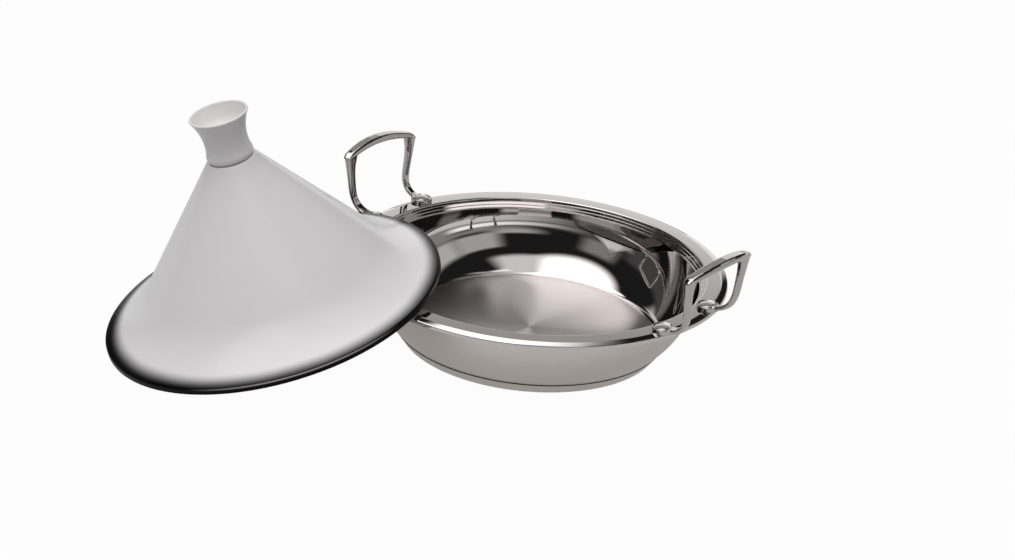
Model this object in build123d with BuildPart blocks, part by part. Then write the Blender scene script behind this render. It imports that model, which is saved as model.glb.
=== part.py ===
"""Tagine: a stainless steel pan with a capped base and two cast handles, and a ceramic cone lid.

Millimetres, +Z up, +X out through the right-hand handle. The origin is the centre of the pan's
stand face. The lid is off: it stands on the low side of its rim and leans on the pan's flange.
"""
from build123d import *
from math import cos, radians, sin, tan
import os

os.makedirs("parts", exist_ok=True)

# Pan: drawn from one sheet
sheet = 1.2
floor_under = 6.6
floor_radius = 106.5
corner_radius = 10.2
corner_turn = 45
wall_radius = 88.0
wall_turn = 36

# Flange and the small steps at the mouth, where the lid seats
mouth_radius = 137.4
seat_z = 59.3
seat_radius = 139.1
step_height = 2.5
step_width = 1.1
step_count = 3
riser_lean = 0.2
step_round = 0.3
flange_top = 67.2
flange_bend = 1.4
crease_radius = 154.5
rim_radius = 160.0
rim_top = 65.6
lip_bottom = 62.9
lip_flare = 0.3
lip_round = 0.8

# Base: a steel cap round a sealed aluminium disc
cap_sheet = 0.7
core_radius = 107.3
stand_radius = 107.6
stand_round = 0.9
cap_top_radius = 113.9
cap_top = 8.7
core_top_angle = 35
cap_top_angle = 39

# Handle
pad_x = 151.0
pad_y = 31.5
pad_radius = 9.2
pad_height = 3.2
pad_bevel = 0.5
head_recess = 0.5
head_recess_radius = 7.5
foot_height = 1.7
foot_run = 6.5
foot_bend = 16.0
leg_splay = 10.5
leg_rise = 32.5
grip_centre_x = 179.0
grip_end_x = 174.0
grip_centre_z = 123.4
grip_end_z = 117.0
grip_half = 43.5
pad_root = 3.0

# Leg sections: angle round the foot's bend, then width along the grip and thickness
bend_sections = [(30, 7.2, 4.0), (60, 6.6, 4.4), (90, 6.5, 4.8)]
# Higher up: share of the rise, set-off outward, slope, width, thickness, set-off towards the middle
leg_sections = [(0.5, 0.2, 89, 6.9, 5.4, 0.2), (0.8, 0.5, 88, 8.2, 6.2, 0.9), (1.0, 0.8, 87, 11.6, 7.2, 2.6)]
leg_corner = 0.3

# Grip sections from end to end: share of the half length, width, crown above the edge, depth below
grip_stations = [
    (-1.0, 7.0, 0.6, 1.6), (-0.86, 9.8, 0.9, 4.0), (-0.45, 11.8, 1.1, 4.8), (0.0, 12.4, 1.2, 5.0),
    (0.45, 11.8, 1.1, 4.8), (0.86, 9.8, 0.9, 4.0), (1.0, 7.0, 0.6, 1.6),
]

# Rivet
rivet_radius = 3.0
head_radius = 7.0
head_height = 1.5
head_edge = 0.4
tail_radius = 4.2
tail_height = 1.6

# Lid
lid_distance = 217.35
lid_bearing = 233.15
lid_height = 40.4
lid_tilt = 17.05
lid_heading = 235.6
brim_radius = 138.4
foot_ring_radius = 131.5
lid_wall = 6.0
foot_edge_round = 1.0
brim_edge = 3.0
brim_edge_round = 1.6
brim_rise = 18.5
brim_flare = 91.0
cone_lean = 38.3
cone_top = 131.6
cone_shoulder_round = 1.4
inner_dome_radius = 30.6
inner_edge_rise = 0.8

# Knob, in the lid's own heights
knob_foot_radius = 17.4
knob_bead_radius = 18.6
knob_bead_z = 136.5
knob_waist_radius = 17.3
knob_waist_z = 145.0
knob_rim_radius = 23.6
knob_rim_z = 168.0
knob_lip = 2.1
knob_dish_wall = 8.5
knob_dish_lean = 23

# Shared places
floor_top = floor_under + sheet
flange_under = flange_top - sheet
pad_top = flange_top + pad_height
head_seat = pad_top - head_recess
rivet_places = [(x, y) for x in (-pad_x, pad_x) for y in (-pad_y, pad_y)]


def corner_point(angle):
    """A point (radius, height) on the outer corner between the pan's floor and its wall."""
    turn = radians(angle)
    return floor_radius + corner_radius * sin(turn), floor_under + corner_radius * (1 - cos(turn))


# Pan shell: the bowl and its flange are one sheet, turned about Z
with BuildPart() as pan_shell:
    with BuildSketch(Plane.XZ):
        with BuildLine():
            floor = Line((0, floor_top), (floor_radius, floor_top))
            corner = JernArc(floor @ 1, floor % 1, corner_radius - sheet, corner_turn)
            wall = JernArc(corner @ 1, corner % 1, wall_radius - sheet, wall_turn)
            steps = [(mouth_radius, seat_z)]
            for step in range(step_count):
                tread_z = seat_z + step * step_height
                riser_radius = seat_radius + step * (step_width + riser_lean)
                steps += [(riser_radius, tread_z), (riser_radius + riser_lean, tread_z + step_height)]
            bend_radius, _ = steps.pop()
            mouth = FilletPolyline(
                wall @ 1, *steps, (bend_radius, flange_top - flange_bend), radius=step_round
            )
            land_start = (bend_radius + flange_bend, flange_top)
            bend = TangentArc(mouth @ 1, land_start, tangent=(0, 1))
            land = Line(bend @ 1, (crease_radius, flange_top))
            lip_radius = rim_radius + lip_flare
            band = FilletPolyline(
                land @ 1, (rim_radius, rim_top), (lip_radius, lip_bottom), radius=lip_round
            )
            lip = Line(band @ 1, (lip_radius - sheet, lip_bottom))
            under = Polyline(
                lip @ 1,
                (rim_radius - sheet, rim_top - 0.7 * sheet),
                (crease_radius, flange_under),
                (bend_radius + sheet, flange_under),
                (seat_radius + 0.6 * sheet, seat_z - 0.7 * sheet),
            )
            outer_floor = Line((0, floor_under), (floor_radius, floor_under))
            outer_corner = JernArc(outer_floor @ 1, outer_floor % 1, corner_radius, corner_turn)
            outer_wall = JernArc(outer_corner @ 1, outer_corner % 1, wall_radius, wall_turn)
            Line(under @ 1, outer_wall @ 1)
            Line((0, floor_under), (0, floor_top))
        make_face()
    revolve(axis=Axis.Z)
    with Locations(*[(x, y, flange_top) for x, y in rivet_places]):
        Hole(rivet_radius)
pan_shell.part.label = "pan_shell"

# Heat core: a disc that fills the base between the cap and the floor
with BuildPart() as heat_core:
    with BuildSketch(Plane.XZ):
        with BuildLine():
            Line((0, cap_sheet), (core_radius, cap_sheet))
            Line((core_radius, cap_sheet), corner_point(core_top_angle))
            JernArc((floor_radius, floor_under), (1, 0), corner_radius, core_top_angle)
            Polyline((floor_radius, floor_under), (0, floor_under), (0, cap_sheet))
        make_face()
    revolve(axis=Axis.Z)
heat_core.part.label = "heat_core"

# Base cap: thin steel, lapped up over the disc's edge, so its top edge is the seam that shows
with BuildPart() as base_cap:
    with BuildSketch(Plane.XZ):
        with BuildLine():
            FilletPolyline((0, 0), (stand_radius, 0), (cap_top_radius, cap_top), radius=stand_round)
            Line((cap_top_radius, cap_top), corner_point(cap_top_angle))
            ThreePointArc(
                corner_point(cap_top_angle),
                corner_point((cap_top_angle + core_top_angle) / 2),
                corner_point(core_top_angle),
            )
            Polyline(corner_point(core_top_angle), (core_radius, cap_sheet), (0, cap_sheet), (0, 0))
        make_face()
    revolve(axis=Axis.Z)
base_cap.part.label = "base_cap"


def leg_plane(side):
    """The plane that one leg's centre line lies in: x outward, y up and splayed to its side."""
    lean = radians(leg_splay)
    return Plane(
        origin=(pad_x, side * pad_y, flange_top + foot_height),
        x_dir=(1, 0, 0),
        z_dir=(0, -cos(lean), side * sin(lean)),
    )


def leg_station(side, out, up, slope, width, thickness, inward=0.0):
    """A cross plane on a leg, square to its centre line there, and its section's size."""
    plane = leg_plane(side)
    direction = plane.x_dir * cos(radians(slope)) + plane.y_dir * sin(radians(slope))
    centre = plane.from_local_coords((out, up, side * inward))
    return Plane(origin=centre, x_dir=plane.z_dir, z_dir=direction), width, thickness


def leg_stations(side):
    """From inside the pad, round the foot's bend and up to inside the grip."""
    stations = [
        leg_station(side, pad_root, 0, 0, 10.0, 3.0),
        leg_station(side, foot_run, 0, 0, 8.2, 3.6),
    ]
    for angle, width, thickness in bend_sections:
        out = foot_run + foot_bend * sin(radians(angle))
        up = foot_bend * (1 - cos(radians(angle)))
        stations.append(leg_station(side, out, up, angle, width, thickness))
    for share, outward, slope, width, thickness, inward in leg_sections:
        out, up = foot_run + foot_bend + outward, foot_bend + share * leg_rise
        stations.append(leg_station(side, out, up, slope, width, thickness, inward))
    return stations


def grip_station(share):
    """The cross plane on the grip at a share of its half length: x out across it, y down."""
    drop = share * share
    fall_x, fall_z = grip_centre_x - grip_end_x, grip_centre_z - grip_end_z
    return Plane(
        origin=(grip_centre_x - fall_x * drop, share * grip_half, grip_centre_z - fall_z * drop),
        x_dir=(1, 2 * share * fall_x / grip_half, 0),
        z_dir=(-2 * share * fall_x / grip_half, 1, -2 * share * fall_z / grip_half),
    )


# Handle: pads, legs and grip are cast in one piece
with BuildPart() as handle_right:
    with BuildSketch(Plane.XY.offset(flange_under)):
        with Locations(*[(pad_x, side * pad_y) for side in (-1, 1)]):
            Circle(pad_radius)
    extrude(amount=pad_top - flange_under)
    chamfer(handle_right.edges().group_by(Axis.Z)[-1], length=pad_bevel)
    for side in (-1, 1):
        for plane, width, thickness in leg_stations(side):
            with BuildSketch(plane):
                RectangleRounded(width, thickness, leg_corner * thickness)
        loft()
    for share, width, crown, depth in grip_stations:
        with BuildSketch(grip_station(share)) as grip_section:
            with BuildLine():
                half = width / 2
                top = ThreePointArc((-half, 0), (0, -crown), (half, 0))
                Polyline(
                    top @ 1, (0.94 * half, 0.6 * depth), (0.6 * half, depth),
                    (-0.6 * half, depth), (-0.94 * half, 0.6 * depth), top @ 0,
                )
            make_face()
    loft()
    with Locations(*[(pad_x, side * pad_y, pad_top) for side in (-1, 1)]):
        CounterBoreHole(rivet_radius, head_recess_radius, head_recess)
    add(pan_shell.part, mode=Mode.SUBTRACT)
handle_right.part.label = "handle_right"

with BuildPart() as handle_left:
    add(handle_right.part, rotation=(0, 0, 180))
handle_left.part.label = "handle_left"

# Rivets: a domed head on the pad, a shank through pad and flange, and a formed tail below
for side_name, side in (("left", -1), ("right", 1)):
    for end_name, end in (("front", -1), ("rear", 1)):
        centre = Vector(side * pad_x, end * pad_y, 0)
        with BuildPart() as rivet:
            with BuildSketch(Plane(origin=centre, x_dir=(1, 0, 0), z_dir=(0, -1, 0))):
                with BuildLine():
                    crest = (0, head_seat + head_height)
                    head = TangentArc(crest, (head_radius, head_seat + head_edge), tangent=(1, 0))
                    shank = Polyline(
                        head @ 1, (head_radius, head_seat), (rivet_radius, head_seat),
                        (rivet_radius, flange_under), (tail_radius, flange_under),
                        (tail_radius, flange_under - head_edge),
                    )
                    foot = (0, flange_under - tail_height)
                    TangentArc(foot, shank @ 1, tangent=(1, 0))
                    Line(foot, crest)
                make_face()
            revolve(axis=Axis(centre, (0, 0, 1)))
            add(pan_shell.part, mode=Mode.SUBTRACT)
        rivet.part.label = f"rivet_{side_name}_{end_name}"
        export_step(rivet.part, f"parts/{rivet.part.label}.step")

# Where the lid leans: its rim's centre, its axis, and the plane that its section is drawn in
lid_centre = Vector(
    lid_distance * cos(radians(lid_bearing)), lid_distance * sin(radians(lid_bearing)), lid_height
)
lid_up = Vector(
    sin(radians(lid_tilt)) * cos(radians(lid_heading)),
    sin(radians(lid_tilt)) * sin(radians(lid_heading)),
    cos(radians(lid_tilt)),
)
lid_level = Vector(-sin(radians(lid_heading)), cos(radians(lid_heading)), 0)
lid_section = Plane(origin=lid_centre, x_dir=lid_level, z_dir=lid_level.cross(lid_up))
lid_axis = Axis(lid_centre, lid_up)

# Lid shell: foot ring, rounded brim edge, flare, straight cone, and the hollow inside it
lean = radians(cone_lean)
with BuildPart() as lid_shell:
    with BuildSketch(lid_section):
        with BuildLine():
            foot = Line((foot_ring_radius, 0), (brim_radius - foot_edge_round, 0))
            foot_edge = JernArc(foot @ 1, foot % 1, foot_edge_round, 90)
            edge = Line(foot_edge @ 1, (brim_radius, foot_edge_round + brim_edge))
            brim_top = JernArc(edge @ 1, edge % 1, brim_edge_round, 90 - brim_rise)
            flare_turn = 90 - cone_lean - brim_rise
            flare = JernArc(brim_top @ 1, brim_top % 1, brim_flare, -flare_turn)
            cone_rise = cone_top - cone_shoulder_round - (flare @ 1).Y
            cone = Line(flare @ 1, flare @ 1 + Vector(-cone_rise * tan(lean), cone_rise))
            shoulder = JernArc(cone @ 1, cone % 1, cone_shoulder_round, 90 - cone_lean)
            lid_top = (shoulder @ 1).Y
            Line(shoulder @ 1, (0, lid_top))
            inner_foot = flare @ 1 - Vector(cos(lean), sin(lean)) * lid_wall
            inner_top_radius = inner_dome_radius * cos(lean)
            inner_rise = (inner_foot.X - inner_top_radius) / tan(lean)
            inner_cone = Line(inner_foot, (inner_top_radius, inner_foot.Y + inner_rise))
            dome = JernArc(inner_cone @ 1, inner_cone % 1, inner_dome_radius, 90 - cone_lean)
            Line(dome @ 1, (0, lid_top))
            inner_edge = (foot_ring_radius, inner_edge_rise)
            inner_flare = TangentArc(inner_foot, inner_edge, tangent=(sin(lean), -cos(lean)))
            Line(inner_flare @ 1, foot @ 0)
        make_face()
    revolve(axis=lid_axis)
lid_shell.part.label = "lid_shell"

# Knob: a flared cup, which stands in its own crease on the cone's flat top
dish_lean = radians(knob_dish_lean)
with BuildPart() as knob:
    with BuildSketch(lid_section):
        with BuildLine():
            waist = (knob_waist_radius, knob_waist_z)
            cup_side = TangentArc(waist, (knob_rim_radius, knob_rim_z), tangent=(0, 1))
            stem = TangentArc(waist, (knob_bead_radius, knob_bead_z), tangent=(0, -1))
            bead = TangentArc(stem @ 1, (knob_foot_radius, lid_top), tangent=stem % 1)
            Line(bead @ 1, (0, lid_top))
            lip_middle = (knob_rim_radius - knob_lip / 2, knob_rim_z + knob_lip / 2)
            lip = ThreePointArc(cup_side @ 1, lip_middle, (knob_rim_radius - knob_lip, knob_rim_z))
            dish_wall = PolarLine(lip @ 1, knob_dish_wall, direction=(-sin(dish_lean), -cos(dish_lean)))
            dish_radius = (dish_wall @ 1).X / cos(dish_lean)
            dish = JernArc(dish_wall @ 1, dish_wall % 1, dish_radius, knob_dish_lean - 90)
            Line(dish @ 1, (0, lid_top))
        make_face()
    revolve(axis=lid_axis)
knob.part.label = "knob"

for piece in (pan_shell, heat_core, base_cap, handle_left, handle_right, lid_shell, knob):
    export_step(piece.part, f"parts/{piece.part.label}.step")
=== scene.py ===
"""Stovetop tagine with its lid off: polished steel pan, two cast handles, glazed cone lid.

Metres, +Z up, +X out through the right-hand handle. The origin is the centre of the pan's stand
face. Every turned piece is drawn as an outline of radius and height, and spun about its axis.
"""
from math import acos, atan2, cos, degrees, pi, radians, sin, tan

import bmesh
import bpy
from bpy.props import FloatProperty, FloatVectorProperty, IntProperty, PointerProperty, StringProperty
from mathutils import Matrix, Vector


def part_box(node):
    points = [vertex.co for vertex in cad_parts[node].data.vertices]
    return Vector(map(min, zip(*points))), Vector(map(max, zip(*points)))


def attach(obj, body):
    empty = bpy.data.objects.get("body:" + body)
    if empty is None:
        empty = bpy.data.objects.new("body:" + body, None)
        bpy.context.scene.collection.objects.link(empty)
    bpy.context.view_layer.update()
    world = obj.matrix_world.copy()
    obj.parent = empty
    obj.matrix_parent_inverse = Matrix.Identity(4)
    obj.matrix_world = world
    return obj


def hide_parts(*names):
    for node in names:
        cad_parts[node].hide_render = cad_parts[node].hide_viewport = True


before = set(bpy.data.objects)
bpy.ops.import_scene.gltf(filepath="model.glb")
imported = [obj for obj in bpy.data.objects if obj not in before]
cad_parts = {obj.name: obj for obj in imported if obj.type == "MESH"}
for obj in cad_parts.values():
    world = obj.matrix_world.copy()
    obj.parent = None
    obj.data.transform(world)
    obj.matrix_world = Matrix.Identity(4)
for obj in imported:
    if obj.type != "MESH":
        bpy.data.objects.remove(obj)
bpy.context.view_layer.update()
PAN_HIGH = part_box("pan_shell")[1]

bl_info = {
    "name": "Stovetop Tagine",
    "version": (1, 0, 0),
    "blender": (4, 5, 0),
    "location": "View3D > Sidebar > Tagine",
    "description": "Builds a stovetop tagine: flanged steel pan, cast handles, glazed cone lid",
    "category": "Add Mesh",
}

AXIS_Z = (0, 0, 1)
WHITE = (1, 1, 1, 1)
# Faces round the turned pieces: the big ones, the knob, the pads and the rivets
AROUND = 256
KNOB_AROUND = 128
PAD_AROUND = 96
RIVET_AROUND = 64
# Vertices closer than this are one, and edges shorter than this are none
SEAM_GAP = 2e-6
SHORTEST_EDGE = 1e-7


def length(name, description, default):
    """A length in metres that the user can change."""
    return FloatProperty(name=name, description=description, default=default, unit="LENGTH", precision=5)


def angle(name, description, default):
    """An angle that the user can change, given here in degrees."""
    return FloatProperty(name=name, description=description, default=radians(default), subtype="ANGLE")


def colour(name, description, default):
    """A colour that the user can change, as sRGB hex."""
    return StringProperty(name=name, description=description, default=default)


class TaginePanSizes(bpy.types.PropertyGroup):
    """The pan, its flange and its capped base"""

    sheet: length("Sheet", "Thickness of the pan's steel", 0.0012)
    floor_top: length("Floor height", "Height of the cooking floor", 0.0078)
    floor_radius: length("Floor radius", "Where the flat floor ends", 0.1065)
    corner_radius: length("Corner radius", "Outer radius of the turn from floor to wall", 0.0102)
    corner_turn: angle("Corner turn", "How far the corner turns", 45)
    wall_radius: length("Wall radius", "Outer radius of the wall's curve", 0.088)
    wall_turn: angle("Wall turn", "How far the wall's curve turns", 36)
    mouth_radius: length("Mouth radius", "Where the wall meets the seat", 0.1374)
    seat_height: length("Seat height", "Height of the lowest step, where the lid seats", 0.0593)
    seat_radius: length("Seat radius", "Radius of the lowest riser", 0.1391)
    step_height: length("Step height", "Rise of each small step at the mouth", 0.0025)
    step_width: length("Step width", "Tread of each small step", 0.0011)
    riser_lean: length("Riser lean", "How far each riser leans out", 0.0002)
    steps: IntProperty(name="Steps", description="How many small steps the mouth has", default=3)
    step_round: length("Step round", "Rounding of the steps' corners", 0.00018)
    flange_bend: length("Flange bend", "Radius between the top riser and the flange", 0.0014)
    crease_radius: length("Crease radius", "Where the flange starts to turn down", 0.1545)
    rim_radius: length("Rim radius", "Radius of the flange's edge", 0.160)
    rim_top: length("Rim height", "Height of the flange's edge", 0.0656)
    lip_bottom: length("Lip bottom", "Height of the turned-down lip's foot", 0.0629)
    lip_round: length("Lip round", "Rounding of the crease and the edge", 0.0008)
    cap_sheet: length("Cap sheet", "Thickness of the base cap", 0.0007)
    stand_radius: length("Stand radius", "Radius of the flat that the pan stands on", 0.1076)
    stand_round: length("Stand round", "Rounding round the stand face", 0.0009)
    cap_top_radius: length("Cap top radius", "Radius of the cap's top edge", 0.1139)
    cap_top: length("Cap top", "Height of the cap's top edge, where the seam shows", 0.0087)
    cap_edge_round: length("Cap edge round", "Rounding of the cap's top edge", 0.0002)
    core_radius: length("Core radius", "Radius of the aluminium disc's foot", 0.1073)
    # The seam's dark line is partly painted shade, standing in for the shadow in the groove
    seam_turn: angle("Seam turn", "Where the brazed line starts on the corner's turn", 33)
    seam_reach: angle("Seam reach", "How far the brazed line goes round the corner", 8)
    seam_depth: length("Seam depth", "Depth of the groove inside the cap's top edge", 0.0008)


class TagineHandleSizes(bpy.types.PropertyGroup):
    """The two cast loop handles: round pads, legs that bend up and out, and a crowned grip"""

    pad_radius: length("Pad radius", "Radius of the round pads", 0.0092)
    pad_height: length("Pad height", "Height of the pads above the flange", 0.0032)
    pad_round: length("Pad round", "Rounding of the pads' top edge", 0.0005)
    pad_sink: length("Pad sink", "How far the pads run down into the flange", 0.0011)
    recess_radius: length("Recess radius", "Radius of the recess round a rivet's head", 0.0079)
    recess: length("Recess", "Depth of that recess", 0.0008)
    foot_height: length("Foot height", "Height of the leg's middle where it leaves the pad", 0.0017)
    foot_run: length("Foot run", "Level run before the leg bends", 0.0065)
    foot_bend: length("Foot bend", "Radius of the leg's bend", 0.016)
    splay: angle("Splay", "How far the legs lean apart", 10.5)
    leg_rise: length("Leg rise", "Rise of the leg above its bend", 0.0325)
    grip_out: length("Grip out", "Distance of the grip's middle from the pan's axis", 0.179)
    grip_end_out: length("Grip end out", "Distance of the grip's ends from the pan's axis", 0.174)
    grip_height: length("Grip height", "Height of the grip's edge in the middle", 0.1234)
    grip_end_height: length("Grip end height", "Height of the grip's edge at its ends", 0.117)
    grip_half: length("Grip half length", "Half the length of the grip", 0.0435)
    grip_round: length("Grip round", "Rounding of the grip's edges", 0.0007)
    grain: length("Grain", "Size of the faces that the casting is made of", 0.0003)


class TagineRivetSizes(bpy.types.PropertyGroup):
    """The four rivets that hold the handles"""

    out: length("Out", "Distance of the rivets from the middle, along the handles", 0.151)
    apart: length("Half spacing", "Half the distance between a handle's rivets", 0.0315)
    seat: length("Seat", "Height that the head sits at", 0.0696)
    head_radius: length("Head radius", "Radius of the domed head", 0.0067)
    head_height: length("Head height", "Height of the domed head", 0.0015)
    edge: length("Edge", "Straight edge under the dome", 0.0004)
    edge_round: length("Edge round", "Rounding of the head's edge", 0.00015)
    shank_radius: length("Shank radius", "Radius of the shank", 0.003)
    tail_radius: length("Tail radius", "Radius of the formed tail", 0.0042)
    tail_height: length("Tail height", "Height of the formed tail", 0.0016)


class TagineLidSizes(bpy.types.PropertyGroup):
    """The cone lid and its knob, in the lid's own heights, and where the lid leans"""

    distance: length("Distance", "From the pan's middle to the middle of the lid's rim", 0.21735)
    bearing: angle("Bearing", "Direction of the lid from the pan's middle", 233.15)
    height: length("Height", "Height of the middle of the lid's rim", 0.0404)
    tilt: angle("Tilt", "How far the lid leans", 17.05)
    heading: angle("Heading", "Direction that the lid leans towards", 235.6)
    brim_radius: length("Brim radius", "Radius of the lid's edge", 0.1384)
    foot_radius: length("Foot radius", "Inner radius of the flat rim foot", 0.1315)
    foot_round: length("Foot round", "Rounding under the edge", 0.001)
    edge_height: length("Edge height", "Straight part of the edge", 0.003)
    edge_round: length("Edge round", "Rounding over the edge", 0.0016)
    brim_rise: angle("Brim rise", "Slope of the brim just inside its edge", 18.5)
    flare: length("Flare", "Radius of the curve from the brim to the cone", 0.091)
    lean: angle("Cone lean", "Lean of the cone from upright", 38.3)
    top: length("Cone top", "Height of the cone's flat top", 0.1316)
    shoulder: length("Shoulder", "Rounding of the cone's top", 0.0014)
    wall: length("Wall", "Thickness of the cone", 0.006)
    dome: length("Dome", "Radius of the dome inside", 0.0306)
    inner_edge: length("Inner edge", "Height of the foot's inner edge", 0.0008)
    knob_foot: length("Knob foot", "Radius of the crease round the knob's foot", 0.0174)
    bead_radius: length("Bead radius", "Widest radius low on the knob", 0.0186)
    bead_height: length("Bead height", "Height of the widest place low on the knob", 0.1365)
    waist_radius: length("Waist radius", "Narrowest radius of the knob", 0.0173)
    waist_height: length("Waist height", "Height of the narrowest place", 0.145)
    cup_radius: length("Cup radius", "Radius of the knob's rim", 0.0236)
    cup_height: length("Cup height", "Height of the knob's rim", 0.168)
    lip: length("Lip", "Thickness of the knob's lip", 0.0021)
    dish_wall: length("Dish wall", "Length of the dish's straight wall", 0.0085)
    dish_lean: angle("Dish lean", "Lean of the dish's wall", 23)


class TagineFinishes(bpy.types.PropertyGroup):
    """Colours, as sRGB hex, and how much each finish blurs what it reflects"""

    polished: colour("Polished steel", "Buffed stainless sheet", "#D2CDCC")
    cast: colour("Cast steel", "Tumbled and buffed stainless casting", "#BEB9B7")
    turned: colour("Turned steel", "Satin cooking floor", "#CEC8C6")
    satin: colour("Satin steel", "Brushed outside wall", "#DED7D1")
    # Partly the joint's brazing, partly painted shade for the seam's groove
    seam_shade: colour("Braze", "Heat-darkened line above the cap", "#262423")
    aluminium: colour("Aluminium", "Rolled disc in the base", "#C9CACC")
    glaze: colour("Glaze", "White tin glaze", "#E6E4E4")
    rim_glaze: colour("Rim glaze", "Dark glaze at the brim's edge", "#060505")
    biscuit: colour("Biscuit", "Unglazed clay of the foot", "#E4E1DC")
    band_black: length("Black edge", "Width of the solid black just inside the edge", 0.0013)
    band_width: length("Dark band", "Width of the smoke from black to white", 0.0140)
    band_lean: FloatProperty(
        name="Dark band lean", default=0.0286,
        description="How much wider the band is on one side, per metre",
    )
    band_side: angle("Dark band side", "Direction in which the band is wider, in the lid's own frame", -68)
    # A painted highlight on the dark glaze: the pale line along the arris, and the side of the brim it lies
    # on
    arris_highlight: colour("Worn glaze", "Where the dark glaze broke thin over the arris", "#A9A5A4")
    arris_highlight_side: angle("Worn side", "Direction of the arris that is worn, in the lid's own frame", 86.5)


class TagineStage(bpy.types.PropertyGroup):
    """Camera, floor and studio light"""

    aim: FloatVectorProperty(
        name="Aim", description="Where the camera looks", default=(-0.03055, 0.00499, 0.0388), unit="LENGTH",
    )
    distance: length("Distance", "From the camera to where it looks", 1.85446)
    bearing: angle("Bearing", "Direction of the camera, from +X", -53.562)
    elevation: angle("Elevation", "How far the camera looks down", 23.506)
    roll: angle("Roll", "Clockwise turn of the camera", 4.834)
    lens: FloatProperty(name="Lens", description="Focal length in millimetres", default=78.03)


def linear(hex_colour):
    """The linear colour that a socket takes, from sRGB hex."""
    channels = [int(hex_colour[i:i + 2], 16) / 255 for i in (1, 3, 5)]
    return tuple(c / 12.92 if c <= 0.04045 else ((c + 0.055) / 1.055) ** 2.4 for c in channels) + (1.0,)


def add(tree, kind, values=None, links=None, **settings):
    """Adds a node: settings are its own, values its sockets' constants, links what feeds its sockets.

    That is a socket of another node, or a node, which feeds from its first output.
    """
    node = tree.nodes.new(kind)
    for name, value in settings.items():
        setattr(node, name, value)
    for socket, value in (values or {}).items():
        node.inputs[socket].default_value = value
    for socket, source in (links or {}).items():
        if isinstance(source, bpy.types.Node):
            source = source.outputs[0]
        tree.links.new(source, node.inputs[socket])
    return node


def new_material(name):
    """An empty material and its node tree."""
    material = bpy.data.materials.new(name)
    material.use_nodes = True
    material.node_tree.nodes.clear()
    return material, material.node_tree


def surface(tree, shader):
    """Sends a shader to the material's output."""
    add(tree, "ShaderNodeOutputMaterial", links={"Surface": shader})


def object_coordinates(tree):
    """Places on the object, in metres, in the row frame."""
    return add(tree, "ShaderNodeTexCoord").outputs["Object"]


class Outline:
    """Draws an outline of radius and height in the XZ plane, with a pen that keeps its heading."""

    def __init__(self, target, radius, height, heading=0.0):
        self.target = target
        self.heading = heading
        self.start((radius, 0, height))

    def start(self, place):
        """Puts the pen down on a clean sheet."""
        self.sheet = bmesh.new()
        self.tip = self.sheet.verts.new(place)

    def line_to(self, radius, height):
        """A straight stretch to a point."""
        start = self.tip.co.copy()
        made = bmesh.ops.extrude_vert_indiv(self.sheet, verts=[self.tip])
        self.tip = made["verts"][0]
        self.tip.co = (radius, 0, height)
        self.heading = atan2(height - start.z, radius - start.x)

    def lines_to(self, *points):
        """Straight stretches from point to point."""
        for point in points:
            self.line_to(*point)

    def line(self, reach):
        """A straight stretch of a given length, on the pen's heading."""
        x, _, z = self.tip.co
        self.line_to(x + reach * cos(self.heading), z + reach * sin(self.heading))

    def arc(self, radius, turn, steps):
        """An arc that starts on the pen's heading; a positive turn is to the left, up from outward."""
        side = 1 if turn > 0 else -1
        to_centre = self.heading + side * pi / 2
        centre = self.tip.co + Vector((radius * cos(to_centre), 0, radius * sin(to_centre)))
        made = bmesh.ops.spin(
            self.sheet, geom=[self.tip], cent=centre, axis=(0, -1, 0), angle=turn, steps=steps
        )
        self.tip = next(g for g in made["geom_last"] if isinstance(g, bmesh.types.BMVert))
        self.heading += turn

    def arc_to(self, radius, height, steps):
        """The arc on the pen's heading that ends at a point."""
        x, _, z = self.tip.co
        chord = Vector((radius - x, height - z))
        toward = Vector((cos(self.heading), sin(self.heading)))
        half_turn = acos(max(-1.0, min(1.0, toward.dot(chord.normalized()))))
        side = 1 if toward.x * chord.y - toward.y * chord.x > 0 else -1
        self.arc(chord.length / (2 * sin(half_turn)), side * 2 * half_turn, steps)

    def round_corner(self, corner, offset, segments):
        """Rounds a drawn corner."""
        bmesh.ops.bevel(
            self.sheet, geom=[corner], offset=offset, offset_type="OFFSET", segments=segments, profile=0.5,
            affect="VERTICES", material=-1,
        )

    def turn_about_z(self, around=AROUND, finish=0):
        """Spins what is drawn into a surface with one finish, and goes on from the pen's place."""
        place = self.tip.co.copy()
        drawn = [*self.sheet.verts, *self.sheet.edges]
        bmesh.ops.spin(
            self.sheet, geom=drawn, cent=(0, 0, 0), axis=AXIS_Z, angle=2 * pi, steps=around, use_merge=True
        )
        for face in self.sheet.faces:
            face.material_index = finish
        pour(self.sheet, self.target)
        self.start(place)


def pour(part, target):
    """Moves everything from one bmesh into another."""
    data = bpy.data.meshes.new("poured")
    part.to_mesh(data)
    part.free()
    target.from_mesh(data)
    bpy.data.meshes.remove(data)


def as_object(name, mesh):
    """Makes a bmesh an object in the scene."""
    data = bpy.data.meshes.new(name)
    mesh.to_mesh(data)
    mesh.free()
    made = bpy.data.objects.new(name, data)
    bpy.context.scene.collection.objects.link(made)
    return made


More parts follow.
